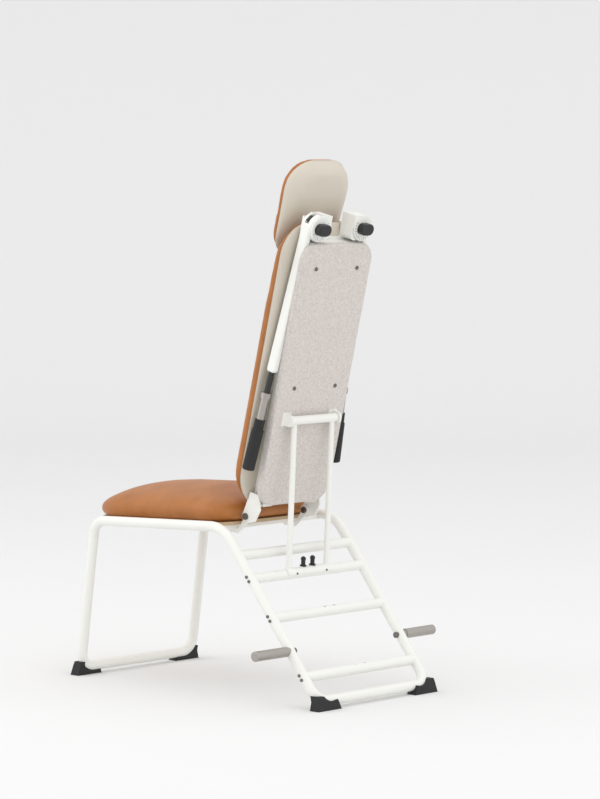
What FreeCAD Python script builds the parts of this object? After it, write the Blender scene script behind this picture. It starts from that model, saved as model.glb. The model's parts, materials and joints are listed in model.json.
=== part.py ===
"""Adjustable treatment bench: seat on a bent tube frame, reclining backrest held by a ladder prop.

Millimetres, +Z up. X runs across the bench (+X is the sitter's left), -Y is the front of the
seat, +Y the rear. The frame is laid out with Y measured from the front of the front feet, and
every piece is moved by -CENTRE_Y when it is written, so the origin is the middle of the footprint
box on the floor. Backrest pieces are built in the backrest's own frame (x across, n rearward
across its thickness, u up its length from the hinge) and then leaned back.
"""
import FreeCAD
import Part
import math
import os

V = FreeCAD.Vector
X_AXIS = V(1, 0, 0)
Y_AXIS = V(0, 1, 0)
Z_AXIS = V(0, 0, 1)

# ---- overall frame ----
TUBE_R = 12.7            # outer radius of every frame tube
TUBE_WALL = 2.0          # steel tube wall
TRACK_HALF = 204.0       # side tubes' centre planes at x = +/- this
FLOOR_GAP = 8.0          # floor bars' underside above the floor
FRONT_BAR_Y = 3.0        # front floor bar centre
REAR_BAR_Y = 826.5       # rear floor bar centre
KNEE_Y = 56.0            # where the front leg's line meets the seat rail's line
KNEE_Z = 405.0
HIP_Y = 511.5            # where the seat rail's line meets the slanted rear leg's line
HIP_Z = 423.0
KNEE_BEND_R = 40.0
HIP_BEND_R = 90.0
FLOOR_BEND_R = 40.0      # corner between a leg and its floor bar
BEAM_DROP = 86.0         # upper beam's distance down the rear leg from the hip corner
RAIL_JOINT_Y = 150.0     # tube joint in the seat rail, under the seat
LINK_TOP = 292.0         # upper tube joint in the rear leg, measured down the leg
LINK_BOTTOM = 456.0      # lower tube joint in the rear leg
SPIGOT_HALF = 30.0       # an inner spigot's reach each side of a tube joint
SPIGOT_SHORT = 6.0       # the lowest spigot's reach towards the bend
SPIGOT_GAP = 0.05        # spigot to tube bore, radial

# ---- feet ----
FOOT_OUT = 21.0          # rubber shoe's reach outward from its floor bar's centre
FOOT_IN = 8.0            # and inward
FOOT_RUN_X = 79.0        # shoe's length along the floor bar
FOOT_SLOPE = 9.0         # sloped inner end of the shoe
FOOT_FLARE = 5.0         # its outer end's reach past the side tube
FOOT_WALL = 23.5         # height of the wall on its outer side
FOOT_PEAK = 35.0         # height of the peak behind the tube's bend

# ---- band pegs ----
PEG_R = 12.5
PEG_LENGTH = 114.0
PEG_NECK = 3.5           # the neck between the peg and the leg
PEG_TIP = 2.5            # rounding of the peg's free end
PEG_DOWN = 365.0         # peg's distance down the rear leg from the hip corner
PEG_BOLT_R = 5.0

# ---- rungs ----
RUNG_BOLT_R = 2.5
RUNG_BOLT_HEAD_R = 4.0
RUNG_BOLT_PITCH = 13.0
RUNG_BOLT_LENGTH = 22.0

# ---- seat cross bars ----
BAR_FRONT_Y = 175.0
BAR_REAR_Y = 448.0
BAR_W = 36.0
BAR_T = 10.0
BAR_LOW = -12.5          # underside, from the rails' centre line

# ---- hinge ----
HINGE_BOSS_R = 13.0
HINGE_Y = 501.0
HINGE_Z = 441.3
HINGE_PIN_R = 5.0
PIN_FIT = 0.05           # radial running clearance
LUG_X = 108.0            # backrest cheek plates, inner face
LUG_T = 5.0
SIDE_GAP = 0.6           # between plates that turn past each other
BRACKET_T = 5.0

# ---- recline ----
REST_ANGLE = 76.4        # backrest above the horizontal when upright
MIDDLE_ANGLE = 46.5
LOW_ANGLE = 17.2

# ---- prop ----
PROP_U = 266.0           # prop pivot in the backrest frame
PROP_N = 62.5
PROP_LENGTH = 384.0      # pivot to rung centre
PROP_ROD_R = 7.2
PROP_ROD_X = 69.0
PROP_TUBE_HALF = 82.0
PROP_TUBE_R = 11.0
PROP_PIVOT_R = 6.0
SADDLE_T = 2.5
SADDLE_HALF = 84.0
SADDLE_GAP = 0.4
PULL_X = 17.0            # locking pins, each side of the middle
PULL_PIN_R = 4.0
PULL_REACH = 5.0         # how far a locking pin drops past the rung's skin
PROP_EAR_X = 86.5        # prop bracket ear's centre plane
EAR_T = 6.0
EAR_HALF = 15.0
FLANGE_IN = 14.0
FLANGE_OUT = 10.0
SADDLE_SCREW_X = 54.0

# ---- seat ----
SEAT_FRONT_Y = -31.0
SEAT_REAR_Y = 492.0
SEAT_HALF = 187.0
SEAT_FRONT_R = 130.0
SEAT_REAR_R = 60.0
PAN_T = 8.0
PAN_LOW = -2.2           # underside of the seat board, from the rails' centre line
PAN_INSET = 16.0
SEAT_LOW = 3.5           # lower edge of the seat cushion
SEAT_EDGE = 44.0         # its side's height
SEAT_CROWN = 93.0

# ---- backrest ----
BACK_BOTTOM = 22.0
BACK_TOP = 752.0
BACK_HALF = 147.0
BACK_R_TOP = 80.0
BACK_R_BOTTOM = 95.0
RIM_N = -13.0            # seam between cushion and shell
CROWN_N = -70.0          # cushion's front at its middle
BACK_EDGE_N = -34.0      # cushion's front at its side
SHELL_REAR_N = -2.0
SHELL_LIP = 3.0          # shell's edge thickness at the seam
SHELL_FLAT = 116.0       # half-width of the shell's flat middle
SPINE_LOW = 34.0
SPINE_X = 78.0           # spine channels' centre
SPINE_W = 34.0
SPINE_TOP = 700.0
PANEL_N0 = 34.0
PANEL_N1 = 48.0
PANEL_HALF = 127.0
PANEL_BOTTOM = 40.0
PANEL_TOP = 712.0
PANEL_R = 44.0
PANEL_R_LOW = 50.0       # the lower corners clear the hinge cheeks
PANEL_SCREW_X = 75.0
PANEL_SCREW_U = (345.0, 650.0)
PANEL_SCREW_R = 5.0

# ---- arm hubs ----
HUB_X = 78.0
HUB_U = 749.0
HUB_R = 33.0
HUB_N0 = 6.0
PLATE_N0 = -1.7          # hub plate's front face
PLATE_T = 5.0
HUB_PLATE_UP = 24.0      # hub plate's reach above the hubs' axes
HOUSING_WALL = 2.0       # fixed housing past the drum's inner side
STUD_R = 5.0
KNOB_N0 = 43.5
HUB_N1 = 38.0
AXLE_R = 9.0
DISC_T = 4.5
KNOB_LENGTH = 44.0
KNOB_WIDTH = 29.0
KNOB_DEPTH = 17.0
ARM_SPLAY = 5.2          # the arm's lean outward from the backrest's length, degrees
ARM_WIDTH = 17.0
ARM_LENGTH = 371.0
ARM_N = 20.0             # arm's centre across the backrest
ARM_DEPTH = 26.0
ARM_EDGE_ROUND = 4.0
ARM_END_ROUND = 8.0
SLOT_LENGTH = 34.0
SLOT_TURN = 45.0         # the slot's place round the drum, up from its outer side
SLOT_WIDTH = 13.0
SLOT_DEPTH = 11.0
LEVER_TRAVEL = 3.0
HANDLE_R = 7.5
HANDLE_SOCKET = 30.0
RING_START = 424.0
GRIP_START = 516.0
COLLAR_R = 13.0
SLEEVE_R = 10.0
COLLAR_RUN = 24.0        # the grip's collar
GRIP_R = 15.5
GRIP_LENGTH = 106.0

# ---- headrest ----
HEAD_BOTTOM = 660.0
HEAD_TOP = 905.0
HEAD_HALF = 113.0
HEAD_R_TOP = 78.0
HEAD_R_BOTTOM = 45.0
HEAD_FRONT_N = -100.0
HEAD_RIM_N = -71.0
HEAD_EDGE_N = -82.0
HEAD_REAR_N = -27.0
STRAP_HALF = 27.0        # headrest bracket
STRAP_T = 4.0
STRAP_LOW = 690.0        # where the strap leaves the backrest's shell
STRAP_U = 800.0          # its upper end
STRAP_N = -61.0

RAIL_SLOPE = math.atan2(HIP_Z - KNEE_Z, HIP_Y - KNEE_Y)
NOSE_HEIGHT = 19.5       # height of the cushion's foremost point above the rails' centre line
NOSE_Y = KNEE_Y + (SEAT_FRONT_Y - KNEE_Y) * math.cos(RAIL_SLOPE) - NOSE_HEIGHT * math.sin(RAIL_SLOPE)
SPILL = 3.0              # how far a cushion's cutting shapes run past its sides
CENTRE_Y = (NOSE_Y + REAR_BAR_Y + FOOT_OUT) / 2.0


# ---- helpers ----
def box(x0, x1, y0, y1, z0, z1):
    """A box between two corners."""
    return Part.makeBox(x1 - x0, y1 - y0, z1 - z0, V(x0, y0, z0))


def rod(radius, start, end):
    """A round bar from one point to another."""
    run = end - start
    return Part.makeCylinder(radius, run.Length, start, run)


def pipe(points, bends, radius, wall):
    """A bent round tube along straight runs joined by arcs; wall 0 gives a solid bar."""
    edges = []
    here = points[0]
    for i in range(1, len(points) - 1):
        corner = points[i]
        back = (points[i - 1] - corner).normalize()
        ahead = (points[i + 1] - corner).normalize()
        half = back.getAngle(ahead) / 2.0
        reach = bends[i - 1] / math.tan(half)
        start = corner + back * reach
        end = corner + ahead * reach
        middle_way = (back + ahead).normalize()
        middle = corner + middle_way * (bends[i - 1] / math.sin(half) - bends[i - 1])
        edges.append(Part.LineSegment(here, start).toShape())
        edges.append(Part.Arc(start, middle, end).toShape())
        here = end
    edges.append(Part.LineSegment(here, points[-1]).toShape())
    path = Part.Wire(edges)
    way = points[1] - points[0]

    def sweep(r):
        ring = Part.Wire([Part.makeCircle(r, points[0], way)])
        return path.makePipeShell([ring], True, False)

    outer = sweep(radius)
    if wall <= 0:
        return outer
    return outer.cut(sweep(radius - wall))


def rounded_plan(half, low, high, r_low, r_high):
    """A face in the x-z plane, symmetric about x = 0, with its own radius at each end's corners."""
    s = math.sqrt(0.5)
    e = []

    def line(a, b):
        e.append(Part.LineSegment(V(a[0], 0, a[1]), V(b[0], 0, b[1])).toShape())

    def arc(a, m, b):
        e.append(Part.Arc(V(a[0], 0, a[1]), V(m[0], 0, m[1]), V(b[0], 0, b[1])).toShape())

    ru, rl = r_high, r_low
    line((-half + rl, low), (half - rl, low))
    arc((half - rl, low), (half - rl + rl * s, low + rl - rl * s), (half, low + rl))
    line((half, low + rl), (half, high - ru))
    arc((half, high - ru), (half - ru + ru * s, high - ru + ru * s), (half - ru, high))
    line((half - ru, high), (-half + ru, high))
    arc((-half + ru, high), (-half + ru - ru * s, high - ru + ru * s), (-half, high - ru))
    line((-half, high - ru), (-half, low + rl))
    arc((-half, low + rl), (-half + rl - rl * s, low + rl - rl * s), (-half + rl, low))
    return Part.Face(Part.Wire(e))


def slab(half, low, high, r_low, r_high, n0, n1):
    """A rounded plan given thickness from n0 to n1 across the backrest."""
    face = rounded_plan(half, low, high, r_low, r_high)
    face.translate(V(0, n0, 0))
    return face.extrude(V(0, n1 - n0, 0))


def prism(points, axis, start, length):
    """A polygon extruded along x; points are (y, z)."""
    wire = Part.makePolygon([V(start, p[0], p[1]) for p in points + [points[0]]])
    return Part.Face(wire).extrude(axis * length)


def mirror(shape):
    """The same piece on the other side of the bench."""
    return shape.mirror(V(0, 0, 0), X_AXIS)


def polar(angle):
    """Unit vector along the backrest when it stands at an angle above the horizontal."""
    a = math.radians(angle)
    return V(0, math.cos(a), math.sin(a))


def in_back(shape):
    """Lean a piece from the backrest frame to its place on the bench."""
    moved = shape.copy()
    moved.rotate(V(0, 0, 0), X_AXIS, -(90.0 - REST_ANGLE))
    moved.translate(V(0, HINGE_Y, HINGE_Z))
    return moved


def prop_pivot(angle):
    """Where the prop's pivot is with the backrest at an angle."""
    u_way = polar(angle)
    n_way = V(0, u_way.z, -u_way.y)
    return V(0, HINGE_Y, HINGE_Z) + u_way * PROP_U + n_way * PROP_N


HIP = V(0, HIP_Y, HIP_Z)
FLOOR_Z = FLOOR_GAP + TUBE_R
LEG_FOOT = V(0, REAR_BAR_Y, FLOOR_Z)
LEG_WAY = (LEG_FOOT - HIP).normalize()


def down_leg(distance, x=0.0):
    """A point on the slanted rear leg's centre line."""
    p = HIP + LEG_WAY * distance
    return V(x, p.y, p.z)


def rung_distance(angle):
    """How far down the leg a rung sits so that the prop seats on it at a backrest angle."""
    pivot = prop_pivot(angle)
    to_hip = HIP - pivot
    b = to_hip.dot(LEG_WAY)
    c = to_hip.dot(to_hip) - PROP_LENGTH * PROP_LENGTH
    return -b + math.sqrt(b * b - c)


RUNGS = {"rung_upper": rung_distance(REST_ANGLE),
         "rung_middle": rung_distance(MIDDLE_ANGLE),
         "rung_lower": rung_distance(LOW_ANGLE)}
RUNG_HALF = TRACK_HALF - TUBE_R


# ---- frame ----
def at(x, p):
    return V(x, p.y, p.z)


KNEE = V(0, KNEE_Y, KNEE_Z)
RAIL_JOINT = KNEE + (HIP - KNEE) * ((RAIL_JOINT_Y - KNEE_Y) / (HIP_Y - KNEE_Y))
FRONT_FOOT = V(0, FRONT_BAR_Y, FLOOR_Z)


def front_leg_hoop(wall):
    left, right = TRACK_HALF, -TRACK_HALF
    points = [at(left, RAIL_JOINT), at(left, KNEE), at(left, FRONT_FOOT),
              at(right, FRONT_FOOT), at(right, KNEE), at(right, RAIL_JOINT)]
    bends = [KNEE_BEND_R, FLOOR_BEND_R, FLOOR_BEND_R, KNEE_BEND_R]
    return pipe(points, bends, TUBE_R, wall)


def side_rail(wall):
    points = [at(TRACK_HALF, RAIL_JOINT), at(TRACK_HALF, HIP), down_leg(LINK_TOP, TRACK_HALF)]
    return pipe(points, [HIP_BEND_R], TUBE_R, wall)


def leg_link(wall):
    tube = rod(TUBE_R, down_leg(LINK_TOP, TRACK_HALF), down_leg(LINK_BOTTOM, TRACK_HALF))
    if wall > 0:
        bore = rod(TUBE_R - wall, down_leg(LINK_TOP, TRACK_HALF), down_leg(LINK_BOTTOM, TRACK_HALF))
        tube = tube.cut(bore)
    return tube


def rear_floor_hoop(wall):
    points = [down_leg(LINK_BOTTOM, TRACK_HALF), at(TRACK_HALF, LEG_FOOT),
              at(-TRACK_HALF, LEG_FOOT), down_leg(LINK_BOTTOM, -TRACK_HALF)]
    return pipe(points, [FLOOR_BEND_R, FLOOR_BEND_R], TUBE_R, wall)


def tube_spigots():
    """Plugs inside the tube joints."""
    r = TUBE_R - TUBE_WALL - SPIGOT_GAP
    rail_way = (HIP - KNEE).normalize()
    plugs = []
    for x in (TRACK_HALF, -TRACK_HALF):
        for centre, way, ahead in ((at(x, RAIL_JOINT), rail_way, SPIGOT_HALF),
                                   (down_leg(LINK_TOP, x), LEG_WAY, SPIGOT_HALF),
                                   (down_leg(LINK_BOTTOM, x), LEG_WAY, SPIGOT_SHORT)):
            plugs.append(rod(r, centre - way * SPIGOT_HALF, centre + way * ahead))
    return Part.makeCompound(plugs)


FRAME_SOLID = front_leg_hoop(0).fuse([side_rail(0), mirror(side_rail(0)), leg_link(0),
                                      mirror(leg_link(0)), rear_floor_hoop(0)])


def cross_tube(centre, wall):
    """A tube across the bench whose ends are coped to the side tubes."""
    tube = rod(TUBE_R, V(-TRACK_HALF, centre.y, centre.z), V(TRACK_HALF, centre.y, centre.z))
    if wall > 0:
        tube = tube.cut(rod(TUBE_R - wall, V(-TRACK_HALF, centre.y, centre.z),
                            V(TRACK_HALF, centre.y, centre.z)))
    return tube.cut(FRAME_SOLID)


def rung(angle):
    """A ladder rung with two blind holes that face the prop when it seats at this angle."""
    centre = down_leg(rung_distance(angle))
    way = (prop_pivot(angle) - centre).normalize()
    tube = cross_tube(centre, TUBE_WALL)
    for x in (PULL_X, -PULL_X):
        start = V(x, centre.y, centre.z)
        tube = tube.cut(rod(PULL_PIN_R + 0.3, start, start + way * (2 * TUBE_R)))
    return tube


def rung_bolts():
    """Two bolt heads on the outer face of each side tube at each rung."""
    heads = []
    for distance in RUNGS.values():
        for step in (-RUNG_BOLT_PITCH / 2, RUNG_BOLT_PITCH / 2):
            p = down_leg(distance + step, TRACK_HALF + TUBE_R)
            head = rod(RUNG_BOLT_HEAD_R, p - X_AXIS * 1.0, p + X_AXIS * 2.2)
            heads.append(head.cut(FRAME_SOLID))
    return Part.makeCompound(heads + [mirror(h) for h in heads])


def foot(y_bar, outward):
    """A rubber shoe under one bottom corner: a sole, a wall on the outer side, a peak past the bend."""
    outer = TRACK_HALF + TUBE_R
    inner = outer - FOOT_RUN_X
    turn = [math.radians(52 - 13 * i) for i in range(5)]
    bend = [V(TRACK_HALF - FLOOR_BEND_R * (1 - math.sin(t)), 0, FLOOR_Z + FLOOR_BEND_R * (1 - math.cos(t)))
            for t in turn]
    side = [V(inner, 0, 0), V(outer + FOOT_FLARE, 0, 0), V(outer - 3.0, 0, FOOT_PEAK),
            V(bend[0].x, 0, FOOT_PEAK)] + bend + [V(inner + FOOT_SLOPE, 0, FOOT_WALL)]
    long_way = Part.Face(Part.makePolygon(side + [side[0]])).extrude(V(0, 120, 0))
    long_way.translate(V(0, y_bar - 60, 0))
    across = prism([(y_bar - outward * FOOT_IN, 0), (y_bar + outward * FOOT_OUT, 0),
                    (y_bar + outward * (FOOT_OUT - 4.0), FOOT_WALL), (y_bar + outward * (FOOT_OUT - 7.0), FOOT_PEAK),
                    (y_bar - outward * (FOOT_IN + 6.0), FOOT_PEAK), (y_bar - outward * FOOT_IN, FLOOR_Z)],
                   X_AXIS, inner - 5, FOOT_RUN_X + 20)
    return largest(long_way.common(across).removeSplitter().cut(FRAME_SOLID))


def largest(shape):
    """The biggest solid of a cut, without slivers."""
    return sorted(shape.Solids, key=lambda s: s.Volume)[-1]


def band_peg():
    """A brushed peg on a short neck, standing out from the rear leg, bored for its bolt."""
    p = down_leg(PEG_DOWN, TRACK_HALF)
    start, tip = p + X_AXIS * (TUBE_R + PEG_NECK), p + X_AXIS * (TUBE_R + PEG_LENGTH)
    peg = rod(PEG_R, start, tip)
    peg = peg.makeFillet(PEG_TIP, [e for e in peg.Edges if e.BoundBox.XMin > tip.x - 0.1])
    peg = peg.fuse(rod(PEG_R - 1.2, p, start + X_AXIS * 1.0)).removeSplitter()
    return largest(peg.cut(FRAME_SOLID))


def peg_bolt():
    p = down_leg(PEG_DOWN, TRACK_HALF)
    head = rod(PEG_BOLT_R + 2.5, p - X_AXIS * (TUBE_R + 5.0), p)
    return largest(head.cut(FRAME_SOLID))


RAIL_TILT = math.degrees(RAIL_SLOPE)


def on_rails(shape):
    """Tilt a piece built level, with z = 0 at the rails' centre line, to lie along the seat rails."""
    moved = shape.copy()
    moved.translate(V(0, -KNEE_Y, 0))
    moved.rotate(V(0, 0, 0), X_AXIS, RAIL_TILT)
    moved.translate(KNEE)
    return moved


def seat_cross_bars():
    """Two flat bars between the seat rails; the rear one also carries the hinge brackets."""
    bars = []
    for y in (BAR_FRONT_Y, BAR_REAR_Y):
        bar = box(-TRACK_HALF, TRACK_HALF, y - BAR_W / 2, y + BAR_W / 2, BAR_LOW, BAR_LOW + BAR_T)
        bars.append(on_rails(bar).cut(FRAME_SOLID))
    return Part.makeCompound(bars)


def hinge_bracket():
    """A plate from the rear cross bar up and back to the hinge pin."""
    x0 = LUG_X - SIDE_GAP - BRACKET_T
    r = HINGE_BOSS_R
    foot_point = on_rails(Part.Vertex(V(0, BAR_REAR_Y, BAR_LOW))).Point
    points = [(foot_point.y - BAR_W / 2, foot_point.z), (foot_point.y - BAR_W / 2, foot_point.z - 9.0),
              (foot_point.y + 20.0, foot_point.z - 12.0), (HINGE_Y + 6.0, HINGE_Z - r + 1.0),
              (HINGE_Y + 2.0, HINGE_Z + r - 1.0), (foot_point.y + BAR_W / 2 + 3.0, foot_point.z)]
    plate = prism(points, X_AXIS, x0, BRACKET_T)
    plate = plate.fuse(rod(r, V(x0, HINGE_Y, HINGE_Z), V(x0 + BRACKET_T, HINGE_Y, HINGE_Z)))
    hole = rod(HINGE_PIN_R, V(x0 - 1, HINGE_Y, HINGE_Z), V(x0 + BRACKET_T + 1, HINGE_Y, HINGE_Z))
    bar = on_rails(box(-TRACK_HALF, TRACK_HALF, BAR_REAR_Y - BAR_W / 2, BAR_REAR_Y + BAR_W / 2,
                       BAR_LOW, BAR_LOW + BAR_T))
    return largest(plate.removeSplitter().cut(hole).cut(bar))


def hinge_pins():
    """Headed pins fixed in the base brackets, with the backrest's cheeks turning on them."""
    x0 = LUG_X - SIDE_GAP - BRACKET_T
    x1 = LUG_X + LUG_T + SIDE_GAP
    c = V(0, HINGE_Y, HINGE_Z)
    shank = rod(HINGE_PIN_R, c + X_AXIS * (x0 - 1.0), c + X_AXIS * (x1 + 1.0))
    head = rod(8.5, c + X_AXIS * x1, c + X_AXIS * (x1 + 4.0))
    nut = rod(8.0, c + X_AXIS * (x0 - 5.0), c + X_AXIS * x0)
    pin = shank.fuse([head, nut]).removeSplitter()
    return Part.makeCompound([pin, mirror(pin)])


# ---- seat ----
def crowned(half, low, high, r_low, r_high, base, edge, crown, profile):
    """A cushion: a rounded plan, an arched cross-section and a side profile, taken together.

    Built with its length along z and its crown towards -y; base is the flat side's y.
    """
    plan = slab(half, low, high, r_low, r_high, crown - 4 * SPILL, base)
    wide, deep, top = half + SPILL, base + SPILL, crown - SPILL
    arch_edges = [Part.Arc(V(wide, edge, low - SPILL), V(0, top, low - SPILL),
                           V(-wide, edge, low - SPILL)).toShape(),
                  Part.LineSegment(V(-wide, edge, low - SPILL), V(-wide, deep, low - SPILL)).toShape(),
                  Part.LineSegment(V(-wide, deep, low - SPILL), V(wide, deep, low - SPILL)).toShape(),
                  Part.LineSegment(V(wide, deep, low - SPILL), V(wide, edge, low - SPILL)).toShape()]
    arch = Part.Face(Part.Wire(arch_edges)).extrude(Z_AXIS * (high - low + 2 * SPILL))
    outline = [V(-wide, n, z) for z, n in profile]
    curve = Part.BSplineCurve()
    curve.interpolate(outline)
    first, last = outline[0], outline[-1]
    start = V(-wide, first.y, first.z - SPILL)
    stop = V(-wide, last.y, last.z + SPILL)
    ends = [Part.LineSegment(last, stop).toShape(),
            Part.LineSegment(stop, V(-wide, deep, stop.z)).toShape(),
            Part.LineSegment(V(-wide, deep, stop.z), V(-wide, deep, start.z)).toShape(),
            Part.LineSegment(V(-wide, deep, start.z), start).toShape(),
            Part.LineSegment(start, first).toShape()]
    side = Part.Face(Part.Wire([curve.toShape()] + ends)).extrude(X_AXIS * (2 * wide))
    return plan.common(arch).common(side)


def level(shape):
    """Turn a piece built upright (length z, crown towards -y) to lie along the rails, crown up."""
    flat = shape.copy()
    flat.rotate(V(0, 0, 0), X_AXIS, -90)
    return on_rails(flat)


def seat_board():
    """The flat board under the seat cushion, upright in its own frame."""
    return slab(SEAT_HALF - PAN_INSET, SEAT_FRONT_Y + PAN_INSET, SEAT_REAR_Y - PAN_INSET,
                SEAT_FRONT_R - PAN_INSET, SEAT_REAR_R - PAN_INSET, -PAN_LOW - PAN_T, -PAN_LOW)


def seat_cushion():
    profile = [(SEAT_FRONT_Y, -NOSE_HEIGHT), (SEAT_FRONT_Y + 40.0, -SEAT_CROWN + 26.0),
               (SEAT_FRONT_Y + 150.0, -SEAT_CROWN + 7.0), (SEAT_REAR_Y - 150.0, -SEAT_CROWN),
               (SEAT_REAR_Y - 40.0, -SEAT_CROWN + 10.0), (SEAT_REAR_Y, -SEAT_EDGE)]
    body = crowned(SEAT_HALF, SEAT_FRONT_Y, SEAT_REAR_Y, SEAT_FRONT_R, SEAT_REAR_R,
                   -SEAT_LOW, -SEAT_EDGE, -SEAT_CROWN, profile)
    seat = level(body.cut(seat_board()))
    back = in_back(back_cushion_shape())
    for step in (0.0, 2.0, 4.0):
        seat = seat.cut(back.translated(V(0, -step, -step)))
    pocket = box(LUG_X - SIDE_GAP - BRACKET_T - 3, LUG_X + LUG_T + 7, HINGE_Y - 34, HINGE_Y + 40,
                 HINGE_Z - 60, HINGE_Z + HINGE_BOSS_R + 3)
    return largest(seat.cut(pocket).cut(mirror(pocket)))


# ---- backrest ----
def back_cushion_shape():
    profile = [(BACK_BOTTOM, RIM_N - 28.0), (BACK_BOTTOM + 45.0, CROWN_N + 8.0),
               (BACK_BOTTOM + 160.0, CROWN_N), (BACK_TOP - 190.0, CROWN_N),
               (BACK_TOP - 60.0, CROWN_N + 20.0), (BACK_TOP, RIM_N - 12.0)]
    return crowned(BACK_HALF, BACK_BOTTOM, BACK_TOP, BACK_R_BOTTOM, BACK_R_TOP,
                   RIM_N, BACK_EDGE_N, CROWN_N, profile)


def back_shell_shape():
    """A rigid shell whose rear face arches from the seam to a flat middle."""
    plan = slab(BACK_HALF, BACK_BOTTOM, BACK_TOP, BACK_R_BOTTOM, BACK_R_TOP, RIM_N, SHELL_REAR_N)
    edges = [(-BACK_HALF, RIM_N), (BACK_HALF, RIM_N), (BACK_HALF, RIM_N + SHELL_LIP),
             (SHELL_FLAT, SHELL_REAR_N), (-SHELL_FLAT, SHELL_REAR_N), (-BACK_HALF, RIM_N + SHELL_LIP)]
    wire = Part.makePolygon([V(x, n, BACK_BOTTOM) for x, n in edges + [edges[0]]])
    return plan.common(Part.Face(wire).extrude(Z_AXIS * (BACK_TOP - BACK_BOTTOM)))


def headrest_bracket():
    """A hidden strap: up from the backrest's shell, through the padding, into the headrest's shell."""
    foot_end = box(-STRAP_HALF, STRAP_HALF, RIM_N - STRAP_T, RIM_N, STRAP_LOW - 30.0, STRAP_LOW)
    reach = box(-STRAP_HALF, STRAP_HALF, STRAP_N, RIM_N, STRAP_LOW, STRAP_LOW + STRAP_T)
    upright = box(-STRAP_HALF, STRAP_HALF, STRAP_N, STRAP_N + STRAP_T, STRAP_LOW, STRAP_U)
    return upright.fuse([reach, foot_end]).removeSplitter()


def headrest_shell_shape():
    """A wedge-shaped shell, thin at its lower lip and curling rearward at its top."""
    points = [(HEAD_RIM_N, HEAD_BOTTOM), (HEAD_RIM_N, HEAD_TOP - 50.0), (HEAD_RIM_N + 9.0, HEAD_TOP - 18.0),
              (HEAD_RIM_N + 24.0, HEAD_TOP), (HEAD_REAR_N - 9.0, HEAD_TOP), (HEAD_REAR_N, HEAD_TOP - 24.0),
              (HEAD_REAR_N - 18.0, HEAD_TOP - 105.0), (HEAD_RIM_N + 3.0, HEAD_BOTTOM)]
    body = prism(points, X_AXIS, -HEAD_HALF, 2 * HEAD_HALF)
    plan = slab(HEAD_HALF, HEAD_BOTTOM, HEAD_TOP, HEAD_R_BOTTOM, HEAD_R_TOP, HEAD_RIM_N - 1, HEAD_REAR_N + 1)
    return largest(body.common(plan).cut(back_cushion_shape()))


def headrest_cushion_shape():
    profile = [(HEAD_BOTTOM, HEAD_RIM_N - 6.0), (HEAD_BOTTOM + 40.0, HEAD_FRONT_N + 12.0),
               (HEAD_BOTTOM + 110.0, HEAD_FRONT_N), (HEAD_TOP - 70.0, HEAD_FRONT_N + 2.0),
               (HEAD_TOP - 20.0, HEAD_FRONT_N + 16.0), (HEAD_TOP, HEAD_RIM_N + 10.0)]
    body = crowned(HEAD_HALF, HEAD_BOTTOM, HEAD_TOP, HEAD_R_BOTTOM, HEAD_R_TOP,
                   HEAD_RIM_N + 24.0, HEAD_EDGE_N, HEAD_FRONT_N, profile)
    return largest(body.cut(headrest_shell_shape()).cut(back_cushion_shape()))


def spine():
    """One rectangular spine tube with the hinge cheek plate that turns on the base's pin."""
    x0, x1 = SPINE_X - SPINE_W / 2, SPINE_X + SPINE_W / 2
    n0, n1 = SHELL_REAR_N, PANEL_N0
    tube = box(x0, x1, n0, n1, SPINE_LOW, SPINE_TOP)
    tube = tube.cut(box(x0 + 2, x1 - 2, n0 + 2, n1 - 2, SPINE_LOW - 1, SPINE_TOP + 1))
    foot_plate = box(x1, LUG_X + LUG_T, n0 + 2, n1 - 4, SPINE_LOW, SPINE_LOW + 5.0)
    points = [(-HINGE_BOSS_R, 0.0), (-HINGE_BOSS_R + 3.0, 12.0), (n0 + 2, SPINE_LOW + 30.0),
              (n1 - 4, SPINE_LOW + 30.0), (n1 + 8.0, SPINE_LOW - 6.0), (n1 - 2.0, -4.0),
              (n1 - 18.0, -12.0), (0.0, -HINGE_BOSS_R)]
    cheek = prism(points, X_AXIS, LUG_X, LUG_T)
    cheek = cheek.fuse(rod(HINGE_BOSS_R, V(LUG_X, 0, 0), V(LUG_X + LUG_T, 0, 0)))
    hole = rod(HINGE_PIN_R + PIN_FIT, V(LUG_X - 1, 0, 0), V(LUG_X + LUG_T + 1, 0, 0))
    body = tube.fuse([foot_plate, cheek]).removeSplitter().cut(hole)
    return body.cut(back_cushion_shape().fuse(back_shell_shape()))


def rear_panel():
    """The felt-faced rear cover, with slots for the two prop brackets and screw holes."""
    body = slab(PANEL_HALF, PANEL_BOTTOM, PANEL_TOP, PANEL_R_LOW, PANEL_R, PANEL_N0 + 0.2, PANEL_N1)
    rear = [e for e in body.Edges if e.BoundBox.YMin > PANEL_N1 - 0.1]
    body = body.makeFillet(4.0, rear)
    for x in (PROP_EAR_X, -PROP_EAR_X):
        body = body.cut(box(x - EAR_T / 2 - 0.5, x + EAR_T / 2 + 0.5, PANEL_N0 - 1, PANEL_N1 + 1,
                            PROP_U - EAR_HALF - 0.5, PROP_U + EAR_HALF + 0.5))
    for x in (PANEL_SCREW_X, -PANEL_SCREW_X):
        for u in PANEL_SCREW_U:
            body = body.cut(rod(3.0, V(x, PANEL_N0 - 1, u), V(x, PANEL_N1 + 1, u)))
    return body


def panel_screws():
    screws = []
    for x in (PANEL_SCREW_X, -PANEL_SCREW_X):
        for u in PANEL_SCREW_U:
            shank = rod(2.8, V(x, PANEL_N0 + 0.2, u), V(x, PANEL_N1, u))
            screws.append(shank.fuse(rod(PANEL_SCREW_R, V(x, PANEL_N1, u), V(x, PANEL_N1 + 2.2, u))))
    return Part.makeCompound([s.removeSplitter() for s in screws])


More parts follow.
